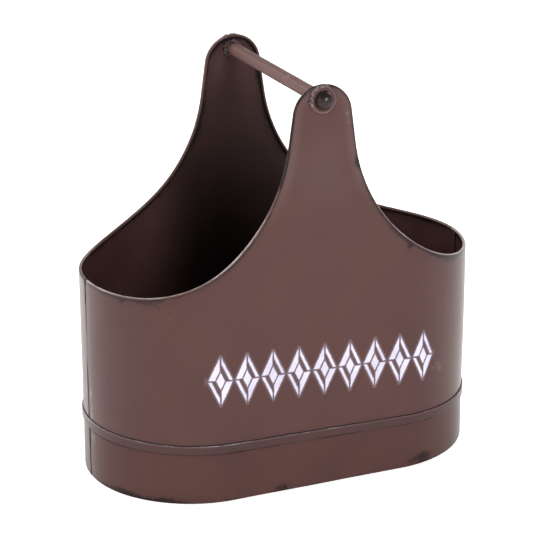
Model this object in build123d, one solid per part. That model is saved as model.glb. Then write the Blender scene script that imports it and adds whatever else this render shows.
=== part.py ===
"""Handled magazine basket in painted sheet steel, oblong in plan, standing on Z = 0.

Millimetres. X runs along the basket, Y from the front sheet (-Y) to the rear one, Z up.
The origin is the centre of the footprint on the ground.
"""

from build123d import *
import math
import os

# Body: two sheets bent to an oblong (straight sides, half-round ends)
LENGTH = 380.0
WIDTH = 208.0
SHEET = 0.8
RIM_HEIGHT = 196.6
SEAM_GAP = 0.3

# Bell outline of each sheet, seen from the front
EAR_TOP = 385.0
EAR_RADIUS = 28.8
FLANK_ANGLE = 8.1
SWEEP_RADIUS = 152.0

# Rolled edge and the wire inside it
ROLL = 3.2
WIRE_RADIUS = 0.65
WIRE_STEPS = 9

# Lap at each end of the body and at the left end of the skirt
LAP_LENGTH = 12.0
LAP_ROOT = 6.0
LAP_CLEARANCE = 0.05

# Floor, folded band over its edge, and skirt below it
FLOOR_TOP = 51.9
BAND_HEIGHT = 8.3
BAND_THICKNESS = 1.25
BAND_CLEARANCE = 0.05
BAND_MIDDLE = 51.6
BAND_SLOPE = 0.018
HEM_HEIGHT = 7.0

# Handle bar and its ends
BAR_RADIUS = 6.35
BAR_HEIGHT = 371.0
SPIGOT_RADIUS = 4.0
SPIGOT_CLEARANCE = 0.05
WASHER_RADIUS = 12.4
WASHER_THICKNESS = 1.2
BALL_RADIUS = 8.5
BALL_STANDOFF = 1.2
SPIGOT_IN_BALL = 6.5
INNER_WELD_LEG = 3.2
INNER_WELD_LENGTH = 3.6
OUTER_WELD_LEG = 1.7
OUTER_WELD_START = 205.0
OUTER_WELD_SWEEP = 130.0

# Working allowance for cutting tools, larger than any of the pieces
BEYOND = 60.0

HALF_LENGTH = LENGTH / 2
HALF_WIDTH = WIDTH / 2
STRAIGHT_HALF = HALF_LENGTH - HALF_WIDTH
FLOOR_BOTTOM = FLOOR_TOP - SHEET
EAR_CENTRE_HEIGHT = EAR_TOP - EAR_RADIUS
FLANK = math.radians(FLANK_ANGLE)

os.makedirs("parts", exist_ok=True)


def oblong(offset, low, high):
    """A straight-sided, round-ended block, its wall moved outwards by offset."""
    outline = SlotOverall(LENGTH + 2 * offset, WIDTH + 2 * offset)
    return extrude(Plane.XY.offset(low) * outline, high - low)


def oblong_wall(outer, inner, low, high):
    """The wall between two offsets of the oblong."""
    return oblong(outer, low, high) - oblong(inner, low, high)


def side_block(side):
    """Everything on one side of the end seams: -1 for the front, +1 for the rear."""
    depth = HALF_WIDTH + BEYOND
    centre = side * (SEAM_GAP / 2 + depth / 2)
    return Pos(0, centre, EAR_TOP / 2) * Box(LENGTH + BEYOND, depth, EAR_TOP + BEYOND)


def sweep_centre_x():
    """Where the large concave arc runs out level into the rim."""
    start_x = EAR_RADIUS * math.cos(FLANK)
    start_z = EAR_CENTRE_HEIGHT + EAR_RADIUS * math.sin(FLANK)
    rise = RIM_HEIGHT + SWEEP_RADIUS - start_z
    return start_x + (SWEEP_RADIUS - rise * math.sin(FLANK)) / math.cos(FLANK)


def bell_points(inset):
    """Ear tangent point, arc start, arc middle and arc end of the right half outline."""
    ear = EAR_RADIUS - inset
    sweep_radius = SWEEP_RADIUS + inset
    centre_x = sweep_centre_x()
    centre_z = RIM_HEIGHT + SWEEP_RADIUS
    ear_x = ear * math.cos(FLANK)
    ear_z = EAR_CENTRE_HEIGHT + ear * math.sin(FLANK)
    half_turn = (math.pi / 2 - FLANK) / 2
    middle = FLANK + half_turn
    start = (centre_x - sweep_radius * math.cos(FLANK), centre_z - sweep_radius * math.sin(FLANK))
    centre = (centre_x - sweep_radius * math.cos(middle), centre_z - sweep_radius * math.sin(middle))
    end = (centre_x, centre_z - sweep_radius)
    return (ear_x, ear_z), start, centre, end


def bell_block(inset):
    """The bell outline, moved inwards by inset, as a block right through the basket."""
    ear, start, middle, end = bell_points(inset)
    far = HALF_LENGTH + BEYOND / 2
    rim = RIM_HEIGHT - inset
    top = (0, EAR_TOP - inset)
    low = FLOOR_TOP

    def mirrored(point):
        return (-point[0], point[1])

    lines = Curve() + [
        ThreePointArc(mirrored(ear), top, ear),
        Line(ear, start),
        ThreePointArc(start, middle, end),
        Line(end, (far, rim)),
        Line((far, rim), (far, low)),
        Line((far, low), (-far, low)),
        Line((-far, low), (-far, rim)),
        Line((-far, rim), mirrored(end)),
        ThreePointArc(mirrored(end), mirrored(middle), mirrored(start)),
        Line(mirrored(start), mirrored(ear)),
    ]
    return extrude(Plane.XZ * make_face(lines), HALF_WIDTH + BEYOND, both=True)


def bar_hole():
    """Hole through both ears for the ends of the handle bar."""
    radius = SPIGOT_RADIUS + SPIGOT_CLEARANCE
    return Pos(0, 0, BAR_HEIGHT) * Rot(90, 0, 0) * Cylinder(radius, WIDTH + BEYOND)


def lap_tongue(end, low, high):
    """Strip behind an end seam, fixed to the rear sheet and reaching under the front one."""
    wall = oblong_wall(-SHEET - LAP_CLEARANCE, -2 * SHEET, low, high)
    root = oblong_wall(-SHEET + 0.2, -2 * SHEET, low, high)
    x = end * HALF_LENGTH
    reach = Pos(x, -LAP_LENGTH / 2, (low + high) / 2) * Box(WIDTH / 2, LAP_LENGTH, high - low)
    joint_length = LAP_ROOT - SEAM_GAP / 2
    joint_y = SEAM_GAP / 2 + joint_length / 2
    joint = Pos(x, joint_y, (low + high) / 2) * Box(WIDTH / 2, joint_length, high - low)
    bridge = Pos(x, 0, (low + high) / 2) * Box(WIDTH / 2, SEAM_GAP, high - low)
    return (wall & reach) + (wall & bridge) + (root & joint)


def panel(side):
    """One sheet: wall, bell outline and an edge rolled inwards over a hollow for its wire."""
    wall = oblong_wall(0, -SHEET, FLOOR_TOP, EAR_TOP) & bell_block(0)
    roll = oblong_wall(0, -ROLL, FLOOR_TOP, EAR_TOP) & (bell_block(0) - bell_block(ROLL))
    hollow = oblong_wall(-SHEET, SHEET - ROLL, FLOOR_TOP, EAR_TOP)
    hollow = hollow & (bell_block(SHEET) - bell_block(ROLL - SHEET))
    return ((wall + roll - hollow) & side_block(side)) - bar_hole()


def rear_panel():
    """The rear sheet carries the tongues of both end laps."""
    high = RIM_HEIGHT - ROLL - SEAM_GAP
    sheet = panel(1)
    for end in (-1, 1):
        sheet = sheet + lap_tongue(end, FLOOR_TOP, high)
    return sheet


def wire_path(side):
    """Centre line of the rim wire: along the bell outline, then round both half ends."""
    inset = ROLL / 2
    depth = side * (HALF_WIDTH - inset)
    ear, start, _, _ = bell_points(inset)
    centre_x = sweep_centre_x()
    centre_z = RIM_HEIGHT + SWEEP_RADIUS
    radius = SWEEP_RADIUS + inset
    end_radius = HALF_WIDTH - inset

    def rim_z(x):
        if x >= centre_x:
            return centre_z - radius
        return centre_z - math.sqrt(radius**2 - (centre_x - x) ** 2)

    def on_arc(x):
        return (x, depth, rim_z(x))

    def round_end(angle):
        x = STRAIGHT_HALF + end_radius * math.sin(angle)
        return (x, side * end_radius * math.cos(angle), rim_z(x))

    def rim_slope(x):
        if x >= centre_x:
            return 0
        return -(centre_x - x) / (centre_z - rim_z(x))

    def heading(angle):
        slope = rim_slope(STRAIGHT_HALF + end_radius * math.sin(angle))
        return (math.cos(angle), -side * math.sin(angle), slope * math.cos(angle))

    corner = on_arc(STRAIGHT_HALF)
    middle = on_arc((start[0] + STRAIGHT_HALF) / 2)
    last_angle = math.pi / 2 - (SEAM_GAP + WIRE_RADIUS) / end_radius
    angles = [last_angle * step / WIRE_STEPS for step in range(WIRE_STEPS + 1)]
    right = [
        Line((ear[0], depth, ear[1]), (start[0], depth, start[1])),
        ThreePointArc((start[0], depth, start[1]), middle, corner),
        Spline([round_end(angle) for angle in angles], tangents=[heading(angle) for angle in angles]),
    ]
    top = ThreePointArc((-ear[0], depth, ear[1]), (0, depth, EAR_TOP - inset), (ear[0], depth, ear[1]))
    left = [edge.mirror(Plane.YZ) for edge in right]
    return Wire([top] + right + left)


def rim_wire(side):
    """Round wire inside a rolled edge."""
    path = wire_path(side)
    section = (path ^ 0) * Circle(WIRE_RADIUS)
    return sweep(section, path=path)


def floor_pan():
    """Flat base plate, gripped between the body sheets above and the skirt below."""
    return oblong(0, FLOOR_BOTTOM, FLOOR_TOP)


def band_face(height):
    """Slightly sloping cut through the whole basket, at this height over the origin."""
    reach = HALF_LENGTH + BEYOND
    drop = BAND_SLOPE * reach
    lines = Polyline(
        (-reach, height + drop), (reach, height - drop), (reach, -BEYOND), (-reach, -BEYOND), close=True
    )
    return extrude(Plane.XZ * make_face(lines), HALF_WIDTH + BEYOND, both=True)


def seam_band():
    """Folded band round the floor's edge, a little lower at the right end."""
    outer = BAND_CLEARANCE + BAND_THICKNESS
    wall = oblong_wall(outer, BAND_CLEARANCE, 0, FLOOR_TOP + BEYOND)
    high = band_face(BAND_MIDDLE + BAND_HEIGHT / 2)
    low = band_face(BAND_MIDDLE - BAND_HEIGHT / 2)
    return wall & (high - low)


def skirt():
    """Strip below the floor, with a hem folded up inside and a lap at the left end."""
    wall = oblong_wall(0, -SHEET, 0, FLOOR_BOTTOM)
    hem = oblong_wall(-SHEET, -2 * SHEET, 0, HEM_HEIGHT)
    slit = Pos(-HALF_LENGTH, 0, FLOOR_BOTTOM / 2) * Box(WIDTH / 2, SEAM_GAP, FLOOR_BOTTOM)
    tongue = lap_tongue(-1, HEM_HEIGHT + SEAM_GAP, FLOOR_BOTTOM)
    return (wall + hem - slit) + tongue


def along_bar(side, distance, height):
    """A cylinder placement on the bar's axis: distance out from the middle to its centre."""
    return Pos(0, side * (distance + height / 2), BAR_HEIGHT) * Rot(90, 0, 0)


def handle_bar():
    """Round bar between the ears, with a thinner end through each of them."""
    shoulder = HALF_WIDTH - SHEET
    tip = HALF_WIDTH + WASHER_THICKNESS + SPIGOT_IN_BALL
    bar = Rot(90, 0, 0) * Cylinder(BAR_RADIUS, 2 * shoulder)
    ends = Rot(90, 0, 0) * Cylinder(SPIGOT_RADIUS, 2 * tip)
    return Pos(0, 0, BAR_HEIGHT) * (bar + ends)


def washer(side):
    """Plain ring between an ear and its ball head."""
    ring = Cylinder(WASHER_RADIUS, WASHER_THICKNESS)
    ring = ring - Cylinder(SPIGOT_RADIUS + SPIGOT_CLEARANCE, WASHER_THICKNESS)
    return along_bar(side, HALF_WIDTH, WASHER_THICKNESS) * ring


def ball_head(side):
    """Ball with a flat seat on the washer and a blind hole for the bar's end."""
    seat = HALF_WIDTH + WASHER_THICKNESS
    ball = Pos(0, side * (seat + BALL_STANDOFF), BAR_HEIGHT) * Sphere(BALL_RADIUS)
    inside = Pos(0, side * (seat - BEYOND / 2), BAR_HEIGHT) * Box(BEYOND, BEYOND, BEYOND)
    bore = Cylinder(SPIGOT_RADIUS + SPIGOT_CLEARANCE, SPIGOT_IN_BALL + SPIGOT_CLEARANCE)
    return ball - inside - along_bar(side, seat, SPIGOT_IN_BALL + SPIGOT_CLEARANCE) * bore


def weld_ring(side, foot, inner, leg, length, start, sweep_angle):
    """Three-cornered fillet weld round the bar's axis, its broad face at depth foot."""
    low = side * foot
    high = low - side * length
    corners = [(inner, low), (inner + leg, low), (inner, high)]
    section = make_face(Polyline(*corners, close=True))
    ring = revolve(section, Axis.Y, revolution_arc=sweep_angle)
    return Pos(0, 0, BAR_HEIGHT) * Rot(0, -start, 0) * ring


def inner_weld(side):
    """Weld round the bar on the inside of an ear."""
    foot = HALF_WIDTH - SHEET
    return weld_ring(side, foot, BAR_RADIUS, INNER_WELD_LEG, INNER_WELD_LENGTH, 0, 360)


def outer_weld(side):
    """Short run of weld along the upper left edge of a washer."""
    start = OUTER_WELD_START
    return weld_ring(
        side, HALF_WIDTH, WASHER_RADIUS, OUTER_WELD_LEG, -WASHER_THICKNESS, start, OUTER_WELD_SWEEP
    )


NODES = {
    "front_panel": panel(-1),
    "rear_panel": rear_panel(),
    "front_rim_wire": rim_wire(-1),
    "rear_rim_wire": rim_wire(1),
    "floor_pan": floor_pan(),
    "seam_band": seam_band(),
    "skirt": skirt(),
    "handle_bar": handle_bar(),
    "front_washer": washer(-1),
    "rear_washer": washer(1),
    "front_ball_head": ball_head(-1),
    "rear_ball_head": ball_head(1),
    "front_inner_weld": inner_weld(-1),
    "rear_inner_weld": inner_weld(1),
    "front_outer_weld": outer_weld(-1),
    "rear_outer_weld": outer_weld(1),
}

for name, shape in NODES.items():
    export_step(shape, f"parts/{name}.step")
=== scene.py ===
"""Looks of a handled magazine basket: brown painted sheet steel around a fixed frame."""

import logging
import math
from dataclasses import dataclass
from enum import Enum
from typing import Callable, Iterable, Sequence

import bmesh
import bpy
import numpy as np
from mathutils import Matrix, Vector


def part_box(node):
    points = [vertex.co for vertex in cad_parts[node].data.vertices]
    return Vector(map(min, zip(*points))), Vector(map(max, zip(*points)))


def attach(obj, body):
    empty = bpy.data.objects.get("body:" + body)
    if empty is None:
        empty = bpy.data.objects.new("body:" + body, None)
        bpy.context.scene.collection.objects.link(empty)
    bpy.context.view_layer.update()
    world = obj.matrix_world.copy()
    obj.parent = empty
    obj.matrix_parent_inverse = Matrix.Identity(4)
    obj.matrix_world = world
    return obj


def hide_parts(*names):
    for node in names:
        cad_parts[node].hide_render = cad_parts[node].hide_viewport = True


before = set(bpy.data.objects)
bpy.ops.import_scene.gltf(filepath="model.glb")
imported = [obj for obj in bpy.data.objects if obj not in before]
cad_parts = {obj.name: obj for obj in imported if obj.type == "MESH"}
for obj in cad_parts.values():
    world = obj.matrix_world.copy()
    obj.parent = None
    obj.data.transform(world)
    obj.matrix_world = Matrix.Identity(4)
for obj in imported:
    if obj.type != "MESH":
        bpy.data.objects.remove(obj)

Array = np.ndarray
Heights = Callable[[Array], Array]
Material = bpy.types.Material
Piece = bpy.types.Object
Point = tuple[float, float, float]
Socket = bpy.types.NodeSocket
Spot = tuple[float, float, float, float, float]
Tree = bpy.types.NodeTree

LOG = logging.getLogger("magazine_basket")
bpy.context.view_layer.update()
MM = 0.001
BODY = "root"
SHEET_MAP = "sheet"
# Point attributes: pale marks, partly wear and partly painted highlight, and dark marks, partly dirt and
# partly painted shade.
WEAR_AND_SHEEN = "wear_and_sheen"
DIRT_AND_SHADE = "dirt_and_shade"
MATH = "ShaderNodeMath"
MIX = "ShaderNodeMix"
NOISE = "ShaderNodeTexNoise"
RANGE = "ShaderNodeMapRange"
EASED = {"interpolation_type": "SMOOTHSTEP"}
IN_COLOUR = {"data_type": "RGBA"}

# The sheet's thickness, the height of the level rim over the round ends, and how far the
# band sinks per metre to the right.
GAUGE = 0.8 * MM
RIM_HEIGHT = 196.6 * MM
BAND_SLOPE = 0.018

# Dark scuffs of dirt on the front and skirt, and a pale painted sheen on the front ear: distance
# along the sheet from its middle, height, half width, half height (all in millimetres) and strength.
FRONT_SCUFFS = ((33, 311, 4, 6, 0.55), (89, 222, 4, 4, 0.7), (104, 210, 14, 4, 0.15), (-191, 191, 4, 3, 0.7),
                (-165, 193, 45, 2.5, 0.28))
FRONT_SHEEN = ((0, 305, 34, 40, 0.1),)
SKIRT_SCUFFS = ((-195, 2, 60, 6, 0.72), (-38, 5, 10, 4, 0.6), (106, 7, 20, 6, 0.66), (156, 8, 7, 5, 0.66),
                (20, 0, 140, 3, 0.3))


class Side(Enum):
    """Which of the two sheets, and the sign of Y on that side."""

    FRONT = -1
    REAR = 1

    @property
    def end(self) -> str:
        """The side's name as it stands in the names of pieces."""
        return self.name.lower()


class Skin(Enum):
    """Material index of a face: painted outside, or the darker inside."""

    OUTSIDE = 0
    INSIDE = 1


def linear(sheet_hex: str) -> tuple[float, float, float, float]:
    """Turn an sRGB hex colour into linear light.

    Args:
        sheet_hex: six hex digits, such as "6A4E4A".

    Returns:
        Red, green, blue and an alpha of one.
    """
    parts = [int(sheet_hex[i : i + 2], 16) / 255 for i in (0, 2, 4)]
    light = [c / 12.92 if c <= 0.04045 else ((c + 0.055) / 1.055) ** 2.4 for c in parts]
    return (light[0], light[1], light[2], 1.0)


def put(tree: Tree, kind: str, settings: dict | str = "", links: dict | Sequence = (),
        out: str | int = 0) -> Socket | bpy.types.Node:
    """Add one node with its settings and links.

    Args:
        tree: the node tree that gets the node.
        kind: the node's type name.
        settings: property names and their values, or just the name of the operation.
        links: a value or the socket that feeds it for each input, by the inputs' names or
            numbers, or in their order.
        out: the output to hand back, or -1 for the node itself.

    Returns:
        The chosen output socket, or the node.
    """
    node = tree.nodes.new(kind)
    if isinstance(settings, str):
        settings = {"operation": settings} if settings else {}
    for name, value in settings.items():
        setattr(node, name, value)
    for name, value in (links if isinstance(links, dict) else dict(enumerate(links))).items():
        if isinstance(value, Socket):
            tree.links.new(value, node.inputs[name])
        else:
            node.inputs[name].default_value = value
    return node if out == -1 else node.outputs[out]


def linked(name: str, data: bpy.types.ID) -> Piece:
    """Put new data into the scene as an object at the origin."""
    piece = bpy.data.objects.new(name, data)
    bpy.context.scene.collection.objects.link(piece)
    return piece


# ---------------------------------------------------------------- shapes


@dataclass(frozen=True)
class Oblong:
    """The basket's plan: straight long sides and half-round ends.

    Args:
        half_length: half the length over the round ends, in metres.
        half_width: half the width, and the radius of the ends.
    """

    half_length: float
    half_width: float

    @property
    def straight(self) -> float:
        """Half the length of a straight side."""
        return self.half_length - self.half_width

    @property
    def reach(self) -> float:
        """Distance along the wall from the middle of a side to the end seam."""
        return self.straight + self.half_width * math.pi / 2

    def along(self, x: Array) -> Array:
        """Distance along the wall of the point whose X is given."""
        over = np.clip((np.abs(x) - self.straight) / self.half_width, 0, 1)
        return np.sign(x) * (np.minimum(np.abs(x), self.straight) + self.half_width * np.arcsin(over))

    def across(self, s: Array) -> Array:
        """X of the point at a distance along the wall."""
        turn = np.clip((np.abs(s) - self.straight) / self.half_width, 0, math.pi / 2)
        return np.sign(s) * (np.minimum(np.abs(s), self.straight) + self.half_width * np.sin(turn))

    def place(self, s: Array, depth: Array, z: Array, side: Side) -> Array:
        """Fold flat coordinates round the plan.

        Args:
            s: distance along the wall from the middle of the side.
            depth: distance outwards from the outer surface.
            z: height.
            side: which sheet.

        Returns:
            Points, with X, Y and Z in the last axis.
        """
        angle = (np.abs(s) - self.straight) / self.half_width
        radius = self.half_width + depth
        on_end = angle > 0
        x = np.where(on_end, self.straight + radius * np.sin(angle), np.abs(s))
        y = np.where(on_end, radius * np.cos(angle), radius)
        return np.stack([np.sign(s) * x, side.value * y, z], axis=-1)

    def loop(self, t: Array, depth: Array, z: Array) -> Array:
        """Points all the way round, t running from the left seam along the front."""
        s_front = t - self.reach
        s_rear = 3 * self.reach - t
        front = self.place(s_front, depth, z, Side.FRONT)
        rear = self.place(s_rear, depth, z, Side.REAR)
        return np.where((t <= 2 * self.reach)[..., None], front, rear)


def ripple(s: Array, z: Array, size: float, seed: int) -> Array:
    """Gentle uneven waves in a sheet, from minus one to one.

    Args:
        s: distance along the sheet.
        z: height.
        size: the typical distance between crests, in metres.
        seed: which pattern of waves.

    Returns:
        The height of the waves at each point.
    """
    random = np.random.default_rng(seed)
    total = np.zeros(np.broadcast(s, z).shape)
    waves = 7
    for _ in range(waves):
        heading = random.uniform(0, math.pi)
        length = size * random.uniform(0.6, 1.7)
        phase = random.uniform(0, 2 * math.pi)
        across = s * math.cos(heading) + z * math.sin(heading)
        total = total + np.sin(2 * math.pi * across / length + phase)
    return total / math.sqrt(waves * 2)


def opening(z: Array, gap: tuple[float, float], size: float, seed: int) -> Array:
    """How far a hand-closed seam stands open.

    Args:
        z: height.
        gap: its narrowest and widest opening.
        size: the typical distance between wide places, in metres.
        seed: which pattern.

    Returns:
        The opening at each height.
    """
    wide = np.clip(0.5 + 0.9 * ripple(np.zeros_like(z), z, size, seed), 0, 1)
    return gap[0] + (gap[1] - gap[0]) * wide


def by_row(values: Iterable[float], columns: int) -> Array:
    """A grid that holds one value all along each row."""
    return np.repeat(np.array(list(values), dtype=float)[:, None], columns, axis=1)


def spots(s: Array, z: Array, places: Sequence[Spot]) -> Array:
    """Soft round spots on a sheet.

    Args:
        s: distance along the sheet.
        z: height.
        places: distance, height, width, height and strength of each spot, lengths in millimetres.

    Returns:
        The strength of the spots at each point.
    """
    total = np.zeros(np.broadcast(s, z).shape)
    for at_s, at_z, wide, tall, strength in places:
        total = total + strength * np.exp(-((s / MM - at_s) / wide) ** 2 - ((z / MM - at_z) / tall) ** 2)
    return total


@dataclass
class Lattice:
    """Rows and columns of points that become one smooth mesh.

    Args:
        points: rows by columns by three.
        flat: rows by columns by two, the sheet's own coordinates for patterns.
        wear_and_sheen: rows by columns, how pale each point is from wear and painted highlight.
        skins: one skin per strip of faces between two rows.
        dirt_and_shade: rows by columns, how dark each point is from dirt and painted shade, or one value for
            all.
        ring_rows: True where the last row joins the first.
        ring_columns: True where the last column joins the first.
        cap_ends: True where the first and last columns are closed with a face.
        smooth: False where the faces stay flat.
    """

    points: Array
    flat: Array
    wear_and_sheen: Array
    skins: Sequence[Skin]
    dirt_and_shade: Array | float = 0.0
    ring_rows: bool = True
    ring_columns: bool = False
    cap_ends: bool = True
    smooth: bool = True

    def build(self, name: str, materials: Iterable[Material]) -> Piece:
        """Make the mesh object, with its map, its pale and dark marks and its materials.

        Args:
            name: the piece's name.
            materials: materials in the order of Skin.

        Returns:
            The new object, linked to the scene.
        """
        rows, columns = self.points.shape[:2]
        index = np.arange(rows * columns).reshape(rows, columns)
        faces: list[tuple[int, ...]] = []
        skins: list[int] = []
        for row in range(rows if self.ring_rows else rows - 1):
            below, above = index[row], index[(row + 1) % rows]
            for column in range(columns if self.ring_columns else columns - 1):
                after = (column + 1) % columns
                faces.append((below[column], below[after], above[after], above[column]))
                skins.append(self.skins[row].value)
        if self.cap_ends and self.ring_rows and not self.ring_columns:
            faces.append(tuple(index[:, 0]))
            faces.append(tuple(index[::-1, -1]))
            skins += [Skin.OUTSIDE.value] * 2
        mesh = bpy.data.meshes.new(name)
        mesh.from_pydata(self.points.reshape(-1, 3).tolist(), [], [tuple(map(int, f)) for f in faces])
        mesh.polygons.foreach_set("material_index", skins)
        mesh.polygons.foreach_set("use_smooth", [self.smooth] * len(faces))
        corners = np.empty(len(mesh.loops), dtype=np.int32)
        mesh.loops.foreach_get("vertex_index", corners)
        layer = mesh.uv_layers.new(name=SHEET_MAP)
        layer.data.foreach_set("uv", self.flat.reshape(-1, 2)[corners].ravel())
        for kind, values in ((WEAR_AND_SHEEN, self.wear_and_sheen), (DIRT_AND_SHADE, self.dirt_and_shade * np.ones_like(self.wear_and_sheen))):
            mesh.attributes.new(kind, "FLOAT", "POINT").data.foreach_set("value", values.ravel())
        for material in materials:
            mesh.materials.append(material)
        mesh.validate()
        mesh.update()
        piece = linked(name, mesh)
        outwards(piece)
        return piece


def outwards(piece: Piece) -> None:
    """Turn every face of a closed piece to point out of it."""
    work = bmesh.new()
    work.from_mesh(piece.data)
    bmesh.ops.recalc_face_normals(work, faces=work.faces)
    work.to_mesh(piece.data)
    work.free()


def triangles(piece: Piece) -> int:
    """How many triangles a mesh piece has."""
    return sum(len(polygon.vertices) - 2 for polygon in piece.data.polygons)


def report(piece: Piece, slot: str, *nodes: str) -> None:
    """Fix a piece to the basket, hide the parts that it stands for, and log it."""
    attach(piece, BODY)
    if nodes:
        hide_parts(*nodes)
    LOG.info("%s: %d triangles, stands for %s", piece.name, triangles(piece), ", ".join(nodes) or "itself")


# ---------------------------------------------------------------- finishes


def blank_material(name: str) -> tuple[Material, Tree, Socket]:
    """A new material, its empty tree and the object's own coordinates."""
    material = bpy.data.materials.new(name)
    material.use_nodes = True
    tree = material.node_tree
    tree.nodes.clear()
    return material, tree, put(tree, "ShaderNodeTexCoord", out="Object")


@dataclass(frozen=True)
class Stencil:
    """A row of sprayed ornaments: lozenge frames in four strokes round a small diamond.

    Args:
        count: how many ornaments.
        pitch: distance between their centres, in metres.
        middle: distance along the sheet of the row's centre.
        height: height of the row's centre where the sheet's middle is.
        tilt: drop of the row per metre to the right.
        half_wide: half an ornament's width.
        half_tall: half an ornament's height.
        thick: width of the two heavy strokes.
        thin: width of the two fine strokes.
        bridge: half the width of the gaps that separate strokes.
        soft: how far the sprayed edge fades, in metres.
        ragged: how far it wanders.
        overspray: how far a faint mist of paint reaches past it.
    """

    count: int = 9
    pitch: float = 25.7 * MM
    middle: float = 3.6 * MM
    height: float = 116.0 * MM
    tilt: float = 0.043
    half_wide: float = 11.7 * MM
    half_tall: float = 24.4 * MM
    thick: float = 5.4 * MM
    thin: float = 2.7 * MM
    bridge: float = 0.85 * MM
    soft: float = 0.45 * MM
    ragged: float = 0.9 * MM
    overspray: float = 2.6 * MM

    def slant(self, wide: float, tall: float) -> float:
        """Real distance from a lozenge's middle to its sides."""
        return wide * tall / math.hypot(wide, tall)

    def lozenge(self, tree: Tree, u: Socket, v: Socket, wide: float, tall: float) -> Socket:
        """Distance inside a lozenge's outline, in metres, negative outside it."""
        across = put(tree, MATH, "DIVIDE", (u, wide))
        up = put(tree, MATH, "DIVIDE", (v, tall))
        both = put(tree, MATH, "ADD", (across, up))
        left = put(tree, MATH, "SUBTRACT", (1.0, both))
        return put(tree, MATH, "MULTIPLY", (left, self.slant(wide, tall)))

    def inside(self, tree: Tree, s: Socket, z: Socket) -> Socket:
        """Distance inside the nearest painted stroke, in metres, negative on bare sheet.

        Args:
            tree: the material's nodes.
            s: distance along the sheet.
            z: height.

        Returns:
            A socket with that distance.
        """
        first = self.middle - self.pitch * self.count / 2
        moved = put(tree, MATH, "SUBTRACT", (s, first))
        cells = put(tree, MATH, "DIVIDE", (moved, self.pitch))
        share = put(tree, MATH, "FRACT", (cells,))
        centred = put(tree, MATH, "SUBTRACT", (share, 0.5))
        u = put(tree, MATH, "MULTIPLY", (centred, self.pitch))
        drop = put(tree, MATH, "MULTIPLY_ADD", (s, self.tilt, -self.height))
        v = put(tree, MATH, "ADD", (z, drop))
        wide = put(tree, MATH, "ABSOLUTE", (u,))
        tall = put(tree, MATH, "ABSOLUTE", (v,))
        frame_in = self.lozenge(tree, wide, tall, self.half_wide, self.half_tall)
        product = put(tree, MATH, "MULTIPLY", (u, v))
        heavy = put(tree, MATH, "LESS_THAN", (product, 0.0))
        width = put(tree, MATH, "MULTIPLY_ADD", (heavy, self.thick - self.thin, self.thin))
        inner = put(tree, MATH, "SUBTRACT", (width, frame_in))
        band = put(tree, MATH, "MINIMUM", (frame_in, inner))
        gap_u = put(tree, MATH, "SUBTRACT", (wide, self.bridge))
        gap_v = put(tree, MATH, "SUBTRACT", (tall, self.bridge))
        gaps = put(tree, MATH, "MINIMUM", (gap_u, gap_v))
        over = put(tree, MATH, "SUBTRACT", (self.half_tall - 0.4 * MM, tall))
        bounded = put(tree, MATH, "MINIMUM", (band, over))
        strokes = put(tree, MATH, "MINIMUM", (bounded, gaps))
        diamond = self.lozenge(tree, wide, tall, self.half_wide * 0.34, self.half_tall * 0.34)
        marks = put(tree, MATH, "MAXIMUM", (strokes, diamond))
        past = put(tree, MATH, "SUBTRACT", (s, self.middle))
        far = put(tree, MATH, "ABSOLUTE", (past,))
        row = put(tree, MATH, "SUBTRACT", (self.pitch * self.count / 2, far))
        return put(tree, MATH, "MINIMUM", (marks, row))


@dataclass(frozen=True)
class InsideShade:
    """Painted shade inside: darker towards a near-black low down, and midway between the ends.

    Args:
        high: height where the painted shade starts.
        low: height below which the painted shade is darkest.
        near: distance from the middle within which it is darkest.
        far: distance from the middle past which little of it is left.
        most: share of the shade colour where it is darkest.
        least: how much of that is left past far.
    """

    high: float = 400 * MM
    low: float = 190 * MM
    near: float = 35 * MM
    far: float = 95 * MM
    most: float = 0.95
    least: float = 0.15


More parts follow.
